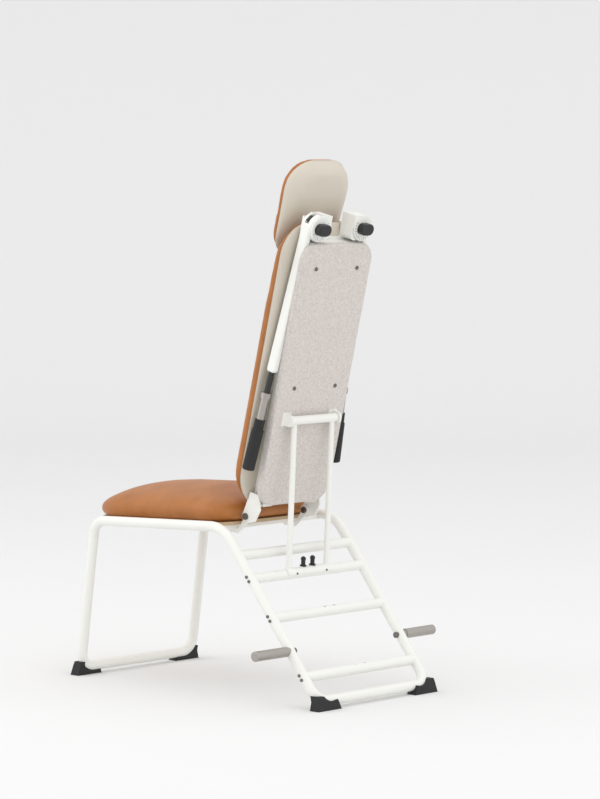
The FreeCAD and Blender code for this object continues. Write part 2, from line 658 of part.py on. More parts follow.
def prop_bracket():
    """A square flange on the panel with an ear that reaches out to the prop's pivot."""
    x0, x1 = PROP_EAR_X - EAR_T / 2, PROP_EAR_X + EAR_T / 2
    u0, u1 = PROP_U - EAR_HALF, PROP_U + EAR_HALF
    ear = box(x0, x1, PANEL_N0, PROP_N, u0, u1)
    ear = ear.fuse(rod(EAR_HALF, V(x0, PROP_N, PROP_U), V(x1, PROP_N, PROP_U)))
    flange = box(x0 - FLANGE_IN, x1 + FLANGE_OUT, PANEL_N1, PANEL_N1 + 2.0, u0 - 2, u1 + 2)
    hole = rod(PROP_PIVOT_R + PIN_FIT, V(x0 - 1, PROP_N, PROP_U), V(x1 + 1, PROP_N, PROP_U))
    return ear.fuse(flange).removeSplitter().cut(hole)


def hub_plate():
    """The plate across the top of the spines, with the two fixed housings round the arm drums."""
    plate = box(-HUB_X - 24, HUB_X + 24, PLATE_N0, PLATE_N0 + PLATE_T, SPINE_TOP + 1, HUB_U + HUB_PLATE_UP)
    inner = HUB_X - HUB_R - HOUSING_WALL
    plate = plate.cut(box(-inner, inner, PLATE_N0 - 1, PLATE_N0 + PLATE_T + 1, HUB_U - HUB_R + 4, HUB_U + 60))
    bar = box(-HUB_X - 15, HUB_X + 15, PLATE_N0 + PLATE_T, PANEL_N0 + 6, SPINE_TOP + 1, HUB_U - HUB_R - 4)
    bar = bar.cut(box(-HUB_X - 12, HUB_X + 12, PLATE_N0, PANEL_N0 + 2.5, SPINE_TOP - 1, HUB_U - HUB_R - 7))
    bar = bar.cut(rear_panel_space())
    housing = box(inner, HUB_X, PLATE_N0, HUB_N1 + 0.4, HUB_U - HUB_R + 2, HUB_U + HUB_R)
    housing = housing.makeFillet(12.0, [e for e in housing.Edges if e.BoundBox.XMax < inner + 0.1
                                        and e.BoundBox.ZMax < HUB_U - HUB_R + 2.1
                                        and e.BoundBox.YMax - e.BoundBox.YMin > 10])
    housing = housing.cut(rod(HUB_R + 0.6, V(HUB_X, PLATE_N0 + PLATE_T, HUB_U), V(HUB_X, HUB_N1 + 1, HUB_U)))
    body = plate.fuse([bar, housing, mirror(housing)]).removeSplitter()
    for x in (HUB_X, -HUB_X):
        body = body.cut(rod(AXLE_R, V(x, PLATE_N0 - 1, HUB_U), V(x, PANEL_N1, HUB_U)))
    return largest(body)


def rear_panel_space():
    return slab(PANEL_HALF + 1, PANEL_BOTTOM, PANEL_TOP + 0.5, PANEL_R_LOW, PANEL_R, PANEL_N0, PANEL_N1)


def hub_axles():
    """Fixed axles: the arm's drum turns on each and the clamp knob's thread is at its end."""
    axle = rod(AXLE_R, V(HUB_X, PLATE_N0, HUB_U), V(HUB_X, HUB_N1 + 0.4, HUB_U))
    stud = rod(STUD_R, V(HUB_X, HUB_N1, HUB_U), V(HUB_X, KNOB_N0 + 9.0, HUB_U))
    body = axle.fuse(stud).removeSplitter()
    return Part.makeCompound([body, mirror(body)])


def index_disc():
    """A fixed dial plate, round on the arm's side with one square inner corner."""
    n0 = HUB_N1 + 0.4
    disc = rod(HUB_R - 1, V(HUB_X, n0, HUB_U), V(HUB_X, n0 + DISC_T, HUB_U))
    disc = disc.fuse(box(HUB_X - HUB_R - HOUSING_WALL, HUB_X, n0, n0 + DISC_T, HUB_U, HUB_U + HUB_R))
    return disc.removeSplitter().cut(rod(STUD_R, V(HUB_X, n0 - 1, HUB_U), V(HUB_X, n0 + 9, HUB_U)))


def clamp_knob():
    """A stadium-shaped knob on the axle's stud."""
    half = (KNOB_LENGTH - KNOB_WIDTH) / 2
    r = KNOB_WIDTH / 2
    body = box(HUB_X - half, HUB_X + half, KNOB_N0, KNOB_N0 + KNOB_DEPTH, HUB_U - r, HUB_U + r)
    for x in (HUB_X - half, HUB_X + half):
        body = body.fuse(rod(r, V(x, KNOB_N0, HUB_U), V(x, KNOB_N0 + KNOB_DEPTH, HUB_U)))
    body = body.removeSplitter()
    body = body.makeFillet(3.0, [e for e in body.Edges if e.BoundBox.YMin > KNOB_N0 + KNOB_DEPTH - 0.1])
    return body.cut(rod(STUD_R + PIN_FIT, V(HUB_X, KNOB_N0 - 1, HUB_U), V(HUB_X, KNOB_N0 + 9.05, HUB_U)))


# ---- arms: built hanging straight down from the hub, then splayed outward ----
def splayed(shape):
    """Turn a left-arm piece about its hub so that it leans outward."""
    moved = shape.copy()
    moved.rotate(V(HUB_X, 0, HUB_U), Y_AXIS, -ARM_SPLAY)
    return moved


ARM_X = HUB_X + HUB_R - ARM_WIDTH / 2


def along_arm(distance, n=None):
    """A point on the arm's centre line, a distance below the hub."""
    return V(ARM_X, ARM_N if n is None else n, HUB_U - distance)


def arm():
    """The white arm: a hub drum whose outer side runs straight down into a slim profile."""
    drum = rod(HUB_R, V(HUB_X, HUB_N0, HUB_U), V(HUB_X, HUB_N1, HUB_U))
    x0, x1 = HUB_X + HUB_R - ARM_WIDTH, HUB_X + HUB_R
    bar = box(x0, x1, ARM_N - ARM_DEPTH / 2, ARM_N + ARM_DEPTH / 2, HUB_U - ARM_LENGTH, HUB_U)
    low = [e for e in bar.Edges if e.BoundBox.ZMax < HUB_U - ARM_LENGTH + 0.1
           and e.BoundBox.XMax - e.BoundBox.XMin > 1]
    bar = bar.makeFillet(ARM_END_ROUND, low)
    upright = [e for e in bar.Edges if e.BoundBox.ZMax - e.BoundBox.ZMin > ARM_LENGTH - 20]
    bar = bar.makeFillet(ARM_EDGE_ROUND, upright)
    body = drum.fuse(bar).removeSplitter()
    body = body.cut(rod(AXLE_R + PIN_FIT, V(HUB_X, HUB_N0 - 1, HUB_U), V(HUB_X, HUB_N1 + 1, HUB_U)))
    slot = box(HUB_X + HUB_R - SLOT_DEPTH, HUB_X + HUB_R + 1, ARM_N - SLOT_WIDTH / 2, ARM_N + SLOT_WIDTH / 2,
               HUB_U - SLOT_LENGTH / 2, HUB_U + SLOT_LENGTH / 2)
    slot.rotate(V(HUB_X, 0, HUB_U), Y_AXIS, -SLOT_TURN)
    bore = rod(HANDLE_R, along_arm(ARM_LENGTH - HANDLE_SOCKET), along_arm(ARM_LENGTH + 1))
    return splayed(body.cut(slot).cut(bore))


def release_lever():
    """A small lever that is pressed into the arm's slot."""
    x0 = HUB_X + HUB_R - SLOT_DEPTH + LEVER_TRAVEL + 0.5
    body = box(x0, x0 + 6.0, ARM_N - SLOT_WIDTH / 2 + 0.5, ARM_N + SLOT_WIDTH / 2 - 0.5, HUB_U - 9.0, HUB_U + 9.0)
    body = body.makeFillet(1.5, [e for e in body.Edges if e.BoundBox.XMin > x0 + 5.9])
    body.rotate(V(HUB_X, 0, HUB_U), Y_AXIS, -SLOT_TURN)
    return splayed(body)


def arm_bar():
    """The black bar socketed into the arm's lower end, running into the grip."""
    return splayed(rod(HANDLE_R, along_arm(ARM_LENGTH - HANDLE_SOCKET), along_arm(GRIP_START + 60.0)))


def arm_ring():
    """A metal lock ring with its slimmer sleeve on the bar."""
    end = GRIP_START - COLLAR_RUN
    ring = rod(COLLAR_R, along_arm(RING_START), along_arm(RING_START + 14.0))
    ring = ring.fuse(rod(SLEEVE_R, along_arm(RING_START + 14.0), along_arm(end))).removeSplitter()
    return splayed(ring.cut(rod(HANDLE_R, along_arm(RING_START - 1), along_arm(end + 1))))


def grip():
    """The rubber grip with a collar at its top."""
    tube = rod(GRIP_R, along_arm(GRIP_START), along_arm(GRIP_START + GRIP_LENGTH))
    tube = tube.makeFillet(4.0, [e for e in tube.Edges if e.Length > 1 and e.BoundBox.ZMax < HUB_U
                                 and e.BoundBox.ZMax - e.BoundBox.ZMin < 0.1])
    tube = tube.fuse(rod(COLLAR_R, along_arm(GRIP_START - COLLAR_RUN), along_arm(GRIP_START + 5.0))).removeSplitter()
    bore = rod(HANDLE_R, along_arm(GRIP_START - COLLAR_RUN - 1), along_arm(GRIP_START + 60.0))
    return splayed(tube.cut(bore))


# ---- prop ----
REST_PIVOT = prop_pivot(REST_ANGLE)
REST_RUNG = down_leg(RUNGS["rung_upper"])
PROP_WAY = (REST_RUNG - REST_PIVOT).normalize()
PROP_SIDE = V(0, -PROP_WAY.z, PROP_WAY.y)


def along_prop(x, distance):
    p = REST_PIVOT + PROP_WAY * distance
    return V(x, p.y, p.z)


def prop_tube():
    """The cross tube at the prop's top with its two pivot stubs."""
    tube = rod(PROP_TUBE_R, along_prop(-PROP_TUBE_HALF, 0), along_prop(PROP_TUBE_HALF, 0))
    reach = PROP_EAR_X + EAR_T / 2
    pins = rod(PROP_PIVOT_R, along_prop(-reach, 0), along_prop(reach, 0))
    return tube.fuse(pins).removeSplitter()


def saddle_zone():
    """The round seat of the rung with its clearance."""
    return rod(TUBE_R + SADDLE_GAP, along_prop(-SADDLE_HALF, PROP_LENGTH), along_prop(SADDLE_HALF, PROP_LENGTH))


def rung_paths():
    """The rungs as the saddle meets them while the backrest reclines and the prop turns in step."""
    low_way = (down_leg(RUNGS["rung_lower"]) - prop_pivot(LOW_ANGLE)).normalize()
    turn = math.atan2(low_way.z, low_way.y) - math.atan2(PROP_WAY.z, PROP_WAY.y)
    seat = along_prop(0, PROP_LENGTH)
    zones = []
    for i in range(1, 119):
        share = i / 118.0
        pivot = prop_pivot(REST_ANGLE - share * (REST_ANGLE - LOW_ANGLE))
        back = -share * turn
        for distance in RUNGS.values():
            p = down_leg(distance) - pivot
            q = V(0, p.y * math.cos(back) - p.z * math.sin(back),
                  p.y * math.sin(back) + p.z * math.cos(back)) + REST_PIVOT
            if 0.05 < (q - seat).Length < 2 * TUBE_R + SADDLE_T + 2:
                zones.append(rod(TUBE_R + 0.3, V(-SADDLE_HALF - 1, q.y, q.z), V(SADDLE_HALF + 1, q.y, q.z)))
    return zones


def prop_saddle():
    """A half-round channel that sits over the rung, bored for the two locking pins."""
    shell = rod(TUBE_R + SADDLE_GAP + SADDLE_T, along_prop(-SADDLE_HALF, PROP_LENGTH),
                along_prop(SADDLE_HALF, PROP_LENGTH)).cut(saddle_zone())
    reach = TUBE_R * 2
    lower = Part.makeBox(2 * SADDLE_HALF + 2, 2 * reach, reach, V(-SADDLE_HALF - 1, -reach, -reach))
    lower.rotate(V(0, 0, 0), X_AXIS, math.degrees(math.atan2(PROP_WAY.y, -PROP_WAY.z)))
    lower.translate(along_prop(0, PROP_LENGTH))
    shell = shell.cut(lower)
    for x in (PULL_X, -PULL_X):
        shell = shell.cut(rod(PULL_PIN_R + PIN_FIT, along_prop(x, PROP_LENGTH - 2 * TUBE_R),
                              along_prop(x, PROP_LENGTH)))
    for zone in rung_paths():
        shell = shell.cut(zone)
    return largest(shell)


def prop_rod():
    """A round rod from the prop tube to the saddle."""
    start = along_prop(PROP_ROD_X, 0)
    end = along_prop(PROP_ROD_X, PROP_LENGTH)
    tube = rod(PROP_TUBE_R, along_prop(-PROP_TUBE_HALF, 0), along_prop(PROP_TUBE_HALF, 0))
    saddle = rod(TUBE_R + SADDLE_GAP + SADDLE_T, along_prop(-SADDLE_HALF, PROP_LENGTH),
                 along_prop(SADDLE_HALF, PROP_LENGTH))
    return largest(rod(PROP_ROD_R, start, end).cut(tube).cut(saddle))


def saddle_screws():
    """Small screws in the saddle's rear face, one beside each rod."""
    screws = []
    for x in (SADDLE_SCREW_X, -SADDLE_SCREW_X):
        p = along_prop(x, PROP_LENGTH - 2.0)
        out = TUBE_R + SADDLE_GAP + SADDLE_T
        screws.append(rod(2.6, p + PROP_SIDE * (out - 1.0), p + PROP_SIDE * (out + 1.4)).cut(
            rod(out, along_prop(-SADDLE_HALF, PROP_LENGTH), along_prop(SADDLE_HALF, PROP_LENGTH))))
    return Part.makeCompound(screws)


def pull_pin():
    """A bell-shaped pull knob with the locking pin that drops through saddle and rung."""
    top = PROP_LENGTH - TUBE_R - SADDLE_GAP - SADDLE_T - 0.3
    pin = rod(PULL_PIN_R, along_prop(PULL_X, top), along_prop(PULL_X, PROP_LENGTH - TUBE_R + PULL_REACH))
    flange = rod(8.5, along_prop(PULL_X, top - 3.0), along_prop(PULL_X, top))
    neck = rod(5.5, along_prop(PULL_X, top - 18.0), along_prop(PULL_X, top - 3.0))
    dome = Part.makeSphere(6.6, along_prop(PULL_X, top - 18.0))
    return pin.fuse([flange, neck, dome]).removeSplitter()


# ---- writing the pieces ----
def build():
    """Every piece by name, in place on the bench."""
    pieces = {
        "front_leg_hoop": front_leg_hoop(TUBE_WALL),
        "side_rail_left": side_rail(TUBE_WALL),
        "leg_link_left": leg_link(TUBE_WALL),
        "rear_floor_hoop": rear_floor_hoop(TUBE_WALL),
        "tube_spigots": tube_spigots(),
        "upper_beam": cross_tube(down_leg(BEAM_DROP), TUBE_WALL),
        "rung_bolts": rung_bolts(),
        "foot_front_left": foot(FRONT_BAR_Y, -1),
        "foot_rear_left": foot(REAR_BAR_Y, 1),
        "band_peg_left": band_peg(),
        "peg_bolts": Part.makeCompound([peg_bolt(), mirror(peg_bolt())]),
        "seat_cross_bars": seat_cross_bars(),
        "seat_pan": level(seat_board()),
        "seat_cushion": seat_cushion(),
        "hinge_bracket_left": hinge_bracket(),
        "hinge_pins": hinge_pins(),
        "prop_tube": prop_tube(),
        "prop_rod_left": prop_rod(),
        "prop_saddle": prop_saddle(),
        "saddle_screws": saddle_screws(),
        "pull_pin_left": pull_pin(),
    }
    for name, angle in (("rung_upper", REST_ANGLE), ("rung_middle", MIDDLE_ANGLE), ("rung_lower", LOW_ANGLE)):
        pieces[name] = rung(angle)
    strap = headrest_bracket()
    back = {
        "spine_left": spine(),
        "back_shell": back_shell_shape(),
        "back_cushion": largest(back_cushion_shape().cut(strap)),
        "rear_panel": rear_panel(),
        "panel_screws": panel_screws(),
        "prop_bracket_left": prop_bracket(),
        "hub_plate": hub_plate(),
        "hub_axles": hub_axles(),
        "index_disc_left": index_disc(),
        "clamp_knob_left": clamp_knob(),
        "headrest_bracket": strap,
        "headrest_shell": headrest_shell_shape().cut(strap),
        "headrest_cushion": headrest_cushion_shape().cut(strap),
        "arm_left": arm(),
        "release_lever_left": release_lever(),
        "arm_bar_left": arm_bar(),
        "arm_ring_left": arm_ring(),
        "grip_left": grip(),
    }
    for name, shape in back.items():
        pieces[name] = in_back(shape)
    for name in list(pieces):
        if name.endswith("_left"):
            pieces[name[:-5] + "_right"] = mirror(pieces[name])
    return pieces


os.makedirs("parts", exist_ok=True)
for node, shape in build().items():
    placed = shape.copy()
    placed.translate(V(0, -CENTRE_Y, 0))
    if len(placed.Solids) == 1:
        placed = placed.Solids[0]
    placed.exportStep("parts/" + node + ".step")
    print(node, len(placed.Solids), placed.isValid(), round(placed.Volume), [round(v, 1) for v in (
        placed.BoundBox.XMin, placed.BoundBox.XMax, placed.BoundBox.YMin,
        placed.BoundBox.YMax, placed.BoundBox.ZMin, placed.BoundBox.ZMax)])
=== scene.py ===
# %% [markdown]
# # An adjustable treatment bench, finished in Blender
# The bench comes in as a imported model: every tube, bracket, knob and cushion is already in its
# place, in metres. This lesson adds what makes it look real: padded leather, moulded shells,
# pressed felt and the small marks of the fittings. Nothing from the model is moved or resized.

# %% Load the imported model
import bmesh
import bpy
import json
import math
import numpy as np
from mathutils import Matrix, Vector


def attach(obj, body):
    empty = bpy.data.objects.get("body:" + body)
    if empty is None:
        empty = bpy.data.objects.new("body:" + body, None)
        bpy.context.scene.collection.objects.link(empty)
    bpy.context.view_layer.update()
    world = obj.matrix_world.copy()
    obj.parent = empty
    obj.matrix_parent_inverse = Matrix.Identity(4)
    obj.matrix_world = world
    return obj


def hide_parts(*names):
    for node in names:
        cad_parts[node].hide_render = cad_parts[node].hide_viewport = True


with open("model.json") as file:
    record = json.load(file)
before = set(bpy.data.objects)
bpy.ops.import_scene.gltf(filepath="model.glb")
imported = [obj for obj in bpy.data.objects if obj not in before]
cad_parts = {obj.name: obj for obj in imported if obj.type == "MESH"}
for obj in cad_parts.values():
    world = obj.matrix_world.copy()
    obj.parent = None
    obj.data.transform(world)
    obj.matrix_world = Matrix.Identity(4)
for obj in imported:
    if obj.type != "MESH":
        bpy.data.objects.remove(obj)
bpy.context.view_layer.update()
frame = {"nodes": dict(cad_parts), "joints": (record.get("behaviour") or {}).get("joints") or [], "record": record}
NODES = frame["nodes"]
JOINTS = {joint["name"]: joint for joint in frame["joints"]}

# %% [markdown]
# ## Camera
# A view from behind and to one side, a little above the seat. The lens is long and stands well
# back, so uprights stay upright and nothing swells towards the viewer. The camera is moved
# sideways and up from the seat's own line to frame the whole bench.

# %% Camera
AZIMUTH = math.radians(47.43)     # from +Y towards +X
ELEVATION = math.radians(4.20)
ROLL = math.radians(0.17)
FOCAL_WIDTHS = 5.772              # focal length in picture widths
DISTANCE = 8.782
SEAT_POINT = Vector((0.0, -0.005, 0.45))
FRAMING = (0.1301, 0.2721)        # how far right and up of the seat point the picture's middle is

away = Vector((math.sin(AZIMUTH) * math.cos(ELEVATION), math.cos(AZIMUTH) * math.cos(ELEVATION),
               math.sin(ELEVATION)))
right = Vector((-math.cos(AZIMUTH), math.sin(AZIMUTH), 0.0))
upward = away.cross(right)
camera_data = bpy.data.cameras.new("studio_camera")
camera = bpy.data.objects.new("studio_camera", camera_data)
bpy.context.scene.collection.objects.link(camera)
middle = SEAT_POINT + right * FRAMING[0] + upward * FRAMING[1]
camera.location = middle + away * DISTANCE
look = (middle - camera.location).to_track_quat("-Z", "Y").to_euler()
camera.rotation_euler = look
camera.rotation_euler.rotate_axis("Z", ROLL)
camera_data.sensor_fit = "HORIZONTAL"
camera_data.sensor_width = 36.0
camera_data.lens = 36.0 * FOCAL_WIDTHS
camera_data.clip_end = 60.0
bpy.context.scene.camera = camera
print("camera at", [round(v, 2) for v in camera.location])

# %% [markdown]
# ## Studio
# A pale sweep and three broad, soft lights. Wide lamps give the leather its long pale sheen and
# keep the white tubes from losing their edges against the white room.

# %% Floor, world and lamps
WORLD_LIGHT = 1.06
bpy.context.scene.view_settings.view_transform = "Standard"
print("view", bpy.context.scene.view_settings.view_transform, bpy.context.scene.view_settings.exposure)
world = bpy.data.worlds.new("studio_world")
bpy.context.scene.world = world
world.use_nodes = True
world.node_tree.nodes["Background"].inputs["Color"].default_value = (1.0, 1.0, 1.0, 1.0)
world.node_tree.nodes["Background"].inputs["Strength"].default_value = WORLD_LIGHT


def flat_mesh(name, points, faces):
    """A mesh object from an array of points and a list of faces."""
    mesh = bpy.data.meshes.new(name)
    mesh.from_pydata([tuple(map(float, p)) for p in points], [], [tuple(map(int, f)) for f in faces])
    mesh.update()
    obj = bpy.data.objects.new(name, mesh)
    bpy.context.scene.collection.objects.link(obj)
    return obj


FLOOR_REACH = 7.0       # how far the flat floor runs behind the bench before it sweeps up
SWEEP_R = 3.0
turn = np.radians(np.linspace(0.0, 90.0, 19))
run = np.concatenate([[-12.0], FLOOR_REACH + SWEEP_R * np.sin(turn), [FLOOR_REACH + SWEEP_R]])
rise = np.concatenate([[0.0], SWEEP_R * (1.0 - np.cos(turn)), [9.0]])
back_way = -np.array([away.x, away.y]) / math.hypot(away.x, away.y)
side_way = np.array([-back_way[1], back_way[0]])
sweep_points = [(*(back_way * r + side_way * w), z) for r, z in zip(run, rise) for w in (-12.0, 12.0)]
floor = flat_mesh("studio_floor", sweep_points,
                  [(2 * k, 2 * k + 1, 2 * k + 3, 2 * k + 2) for k in range(len(run) - 1)])
floor.data.shade_smooth()


def soft_lamp(name, place, size, power):
    """A square area lamp that faces the bench."""
    data = bpy.data.lights.new(name, "AREA")
    data.shape = "SQUARE"
    data.size = size
    data.energy = power
    lamp = bpy.data.objects.new(name, data)
    bpy.context.scene.collection.objects.link(lamp)
    lamp.location = place
    lamp.rotation_euler = (Vector((0.0, 0.0, 0.6)) - lamp.location).to_track_quat("-Z", "Y").to_euler()


soft_lamp("overhead", (0.3, 0.2, 4.2), 3.5, 18.0)
soft_lamp("front_left", (3.2, -2.6, 2.4), 3.0, 24.0)
soft_lamp("rear_right", (0.6, 4.4, 2.2), 3.0, 12.0)
print("studio ready")

# %% [markdown]
# ## Writing shader maths as plain expressions
# A finish is a small calculation over the surface: a noise, stretched, sharpened, mixed between
# two colours. Wrapping a socket in a class with arithmetic operators lets the recipe read like
# the formula it is, and one method makes every other kind of node.

# %% Node helper
class Value:
    """A node socket that can be added and multiplied in Python expressions."""

    def __init__(self, tree, socket):
        self.tree = tree
        self.socket = socket

    def _math(self, operation, other):
        node = self.tree.nodes.new("ShaderNodeMath")
        node.operation = operation
        for slot, operand in zip(node.inputs, (self, other)):
            if isinstance(operand, Value):
                self.tree.links.new(operand.socket, slot)
            else:
                slot.default_value = operand
        return Value(self.tree, node.outputs[0])

    def __add__(self, other):
        return self._math("ADD", other)

    __radd__ = __add__

    def __mul__(self, other):
        return self._math("MULTIPLY", other)

    __rmul__ = __mul__

    def step(self, low, high):
        """0 below low, 1 above high, smooth between."""
        return Finish.make(self.tree, "ShaderNodeMapRange",
                           {"interpolation_type": "SMOOTHSTEP"},
                           {"Value": self, "From Min": low, "From Max": high})


class Finish:
    """A material being written: its tree, its surface position and its Principled shader."""

    def __init__(self, name):
        self.material = bpy.data.materials.new(name)
        self.material.use_nodes = True
        self.tree = self.material.node_tree
        self.shader = self.tree.nodes["Principled BSDF"]
        self.place = self.node("ShaderNodeTexCoord", {}, {}, "Object")

    @staticmethod
    def make(tree, kind, settings, values, output=0):
        """Any node: its settings first, then its sockets' values or links."""
        node = tree.nodes.new(kind)
        for key, value in settings.items():
            if key == "ramp":
                elements = node.color_ramp.elements
                while len(elements) < len(value):
                    elements.new(0.5)
                for element, (position, colour) in zip(elements, value):
                    element.position = position
                    element.color = (*colour, 1.0)
            else:
                setattr(node, key, value)
        for key, value in values.items():
            if isinstance(value, Value):
                tree.links.new(value.socket, node.inputs[key])
            else:
                node.inputs[key].default_value = value
        return Value(tree, node.outputs[output])

    def node(self, kind, settings, values, output=0):
        return Finish.make(self.tree, kind, settings, values, output)

    def stretched(self, scale, turn=(0.0, 0.0, 0.0)):
        return self.node("ShaderNodeMapping", {},
                         {"Vector": self.place, "Scale": scale, "Rotation": turn})

    def noise(self, size, detail=3.0, rough=0.5, place=None):
        """Noise whose blobs are about the given size in metres."""
        return self.node("ShaderNodeTexNoise", {},
                         {"Vector": place or self.place, "Scale": 1.0 / size,
                          "Detail": detail, "Roughness": rough})

    def cells(self, size, feature="F1", place=None):
        return self.node("ShaderNodeTexVoronoi", {"feature": feature},
                         {"Vector": place or self.place, "Scale": 1.0 / size})

    def blend(self, share, first, second):
        """A colour between two colours."""
        colours = {}
        for key, colour in (("A", first), ("B", second)):
            colours[key] = colour if isinstance(colour, Value) else (*colour, 1.0)
        mix = self.tree.nodes.new("ShaderNodeMix")
        mix.data_type = "RGBA"
        for slot, value in ((mix.inputs["Factor"], share), (mix.inputs[6], colours["A"]),
                            (mix.inputs[7], colours["B"])):
            if isinstance(value, Value):
                self.tree.links.new(value.socket, slot)
            else:
                slot.default_value = value
        return Value(self.tree, mix.outputs[2])

    def bump(self, height, depth, strength=1.0):
        """Relief of a given depth in metres."""
        return self.node("ShaderNodeBump", {},
                         {"Height": height, "Distance": depth, "Strength": strength})

    def surface(self, **values):
        """Feed the shader: a Value is linked, a number or colour is set."""
        names = {"colour": "Base Color", "rough": "Roughness", "metal": "Metallic", "normal": "Normal",
                 "coat": "Coat Weight", "coat_rough": "Coat Roughness", "sheen": "Sheen Weight",
                 "sheen_rough": "Sheen Roughness", "level": "Specular IOR Level"}
        for key, value in values.items():
            slot = self.shader.inputs[names[key]]
            if isinstance(value, Value):
                self.tree.links.new(value.socket, slot)
            elif key == "colour":
                slot.default_value = (*value, 1.0)
            else:
                slot.default_value = value
        return self.material


print("shader helper ready")

# %% [markdown]
# ## Finishes
# Each finish starts from what the real surface does. Powder coat has a faint orange peel.
# Upholstery leather has pebbled grain a millimetre or so across and a soft sheen that breaks up
# where the hide is smoother. Pressed felt is a mat of fibres in several close tones. Brushed steel
# is scratched in one direction, and rubber is matt with a bloom of dust.

# %% Hard finishes
def powder_coat(name, colour, rough):
    f = Finish(name)
    drift = f.noise(0.12, 2.0)
    peel = f.noise(0.0016, 2.0, 0.6)
    shade = tuple(c * 0.955 for c in colour)
    return f.surface(colour=f.blend(drift, shade, colour), rough=rough + 0.08 * f.noise(0.02, 3.0),
                     normal=f.bump(peel, 0.00006), level=0.5)


def moulded_plastic(name, colour, rough, grain=0.0007):
    f = Finish(name)
    drift = f.noise(0.09, 3.0)
    lighter = tuple(min(1.0, c * 1.06 + 0.002) for c in colour)
    grainy = f.noise(grain, 3.0, 0.6)
    return f.surface(colour=f.blend(drift, colour, lighter), rough=rough + 0.10 * f.noise(0.015, 3.0),
                     normal=f.bump(grainy, 0.00005))


def brushed_steel(name, colour, stretch, rough=0.26):
    f = Finish(name)
    hair = f.noise(1.0, 4.0, 0.65, f.stretched(stretch))
    tone = f.blend(hair.step(0.3, 0.7), tuple(c * 0.82 for c in colour), colour)
    return f.surface(colour=tone, metal=1.0, rough=rough + 0.16 * hair, normal=f.bump(hair, 0.00002))


FRAME_WHITE = powder_coat("frame_powder_coat", (0.86, 0.86, 0.82), 0.30)
SHELL_GREIGE = moulded_plastic("shell_moulding", (0.60, 0.550, 0.465), 0.42)
BLACK_PLASTIC = moulded_plastic("black_moulding", (0.009, 0.009, 0.010), 0.36)
BLACK_RUBBER = moulded_plastic("black_rubber", (0.011, 0.011, 0.012), 0.62, 0.0012)
BLACK_METAL = powder_coat("black_enamel", (0.02, 0.02, 0.022), 0.28)
STEEL = brushed_steel("brushed_steel_round", (0.45, 0.42, 0.39), (12.0, 900.0, 900.0))
SCREW_STEEL = brushed_steel("screw_steel", (0.20, 0.19, 0.18), (500.0, 500.0, 60.0), 0.30)
print("hard finishes", [m.name for m in bpy.data.materials][-7:])

# %% [markdown]
# ## Leather and felt
# The two soft finishes need more than one scale of detail, so each is built up in layers.

# %% Leather and felt
def tan_leather():
    """Pebbled grain from cells and two sizes of noise, a drift of tone, and a light, even coat."""
    f = Finish("tan_leather")
    wobble = f.noise(0.004, 2.0)
    pebble = f.cells(0.0021, "DISTANCE_TO_EDGE").step(0.0, 0.22)
    fine = f.noise(0.0009, 3.0, 0.65)
    grain = pebble * 0.6 + fine * 0.35 + wobble * 0.3
    drift = f.noise(0.07, 4.0, 0.55).step(0.32, 0.70)
    colour = f.blend(drift, (0.385, 0.130, 0.018), (0.455, 0.162, 0.026))
    colour = f.blend(pebble.step(0.0, 0.35) * 0.30 + 0.70, (0.31, 0.088, 0.016), colour)
    return f.surface(colour=colour, rough=0.40 + 0.14 * f.noise(0.01, 3.0),
                     normal=f.bump(grain, 0.00022), coat=0.06, coat_rough=0.32,
                     sheen=0.03, sheen_rough=0.5)


def pressed_felt():
    """A mat of fibres: short tangled streaks in three directions over a mottled ground."""
    f = Finish("pressed_felt")
    mottle = f.noise(0.006, 5.0, 0.72).step(0.34, 0.66)
    ground = f.blend(mottle, (0.58, 0.515, 0.475), (0.745, 0.695, 0.66))
    fibres = None
    for turn in ((0.3, 0.2, 0.1), (1.2, 0.9, 0.4), (2.1, 0.4, 1.3)):
        strand = f.noise(1.0, 2.0, 0.5, f.stretched((260.0, 1500.0, 1500.0), turn))
        strand = strand.step(0.48, 0.72)
        fibres = strand if fibres is None else fibres + strand
    colour = f.blend(fibres * 0.30, ground, (0.82, 0.78, 0.75))
    dark = f.noise(0.0035, 3.0, 0.6).step(0.62, 0.76) * 0.35
    colour = f.blend(dark, colour, (0.47, 0.40, 0.365))
    return f.surface(colour=colour, rough=0.94,
                     normal=f.bump(fibres * 0.5 + f.noise(0.0018, 4.0, 0.7), 0.0005),
                     sheen=0.35, sheen_rough=0.6, level=0.2)


def plywood():
    f = Finish("seat_board_ply")
    ring = f.noise(0.03, 5.0, 0.6, f.stretched((1.0, 8.0, 8.0)))
    return f.surface(colour=f.blend(ring, (0.42, 0.28, 0.15), (0.60, 0.44, 0.27)), rough=0.6,
                     normal=f.bump(ring, 0.0002))


TAN_LEATHER = tan_leather()
FELT = pressed_felt()
PLYWOOD = plywood()
FLOOR_COLOUR = (0.81, 0.81, 0.81)


def plain_floor():
    f = Finish("studio_floor")
    return f.surface(colour=FLOOR_COLOUR, rough=0.9, level=0.0)


floor.data.materials.append(plain_floor())


def wear(node, material):
    """Give one of the model's own nodes a finish."""
    obj = NODES[node]
    obj.data.materials.clear()
    obj.data.materials.append(material)


BY_SLOT = {"white_frame": FRAME_WHITE, "black_rubber": BLACK_RUBBER, "black_plastic": BLACK_PLASTIC,
           "black_metal": BLACK_METAL, "steel": STEEL, "dark_steel": SCREW_STEEL,
           "tan_leather": TAN_LEATHER, "shell": SHELL_GREIGE, "felt": FELT, "board": PLYWOOD}
for part in frame["record"]["subparts"]:
    wear(part["node"], BY_SLOT[part["material_slot"]])
print("finishes on", len(NODES), "nodes")

# %% [markdown]
# ## Two working frames
# The backrest leans and the seat slopes, so each gets its own three axes. A point is then a
# distance across the bench, one through the thickness and one along the length, and a single
# matrix product takes a whole array of points back to the bench.

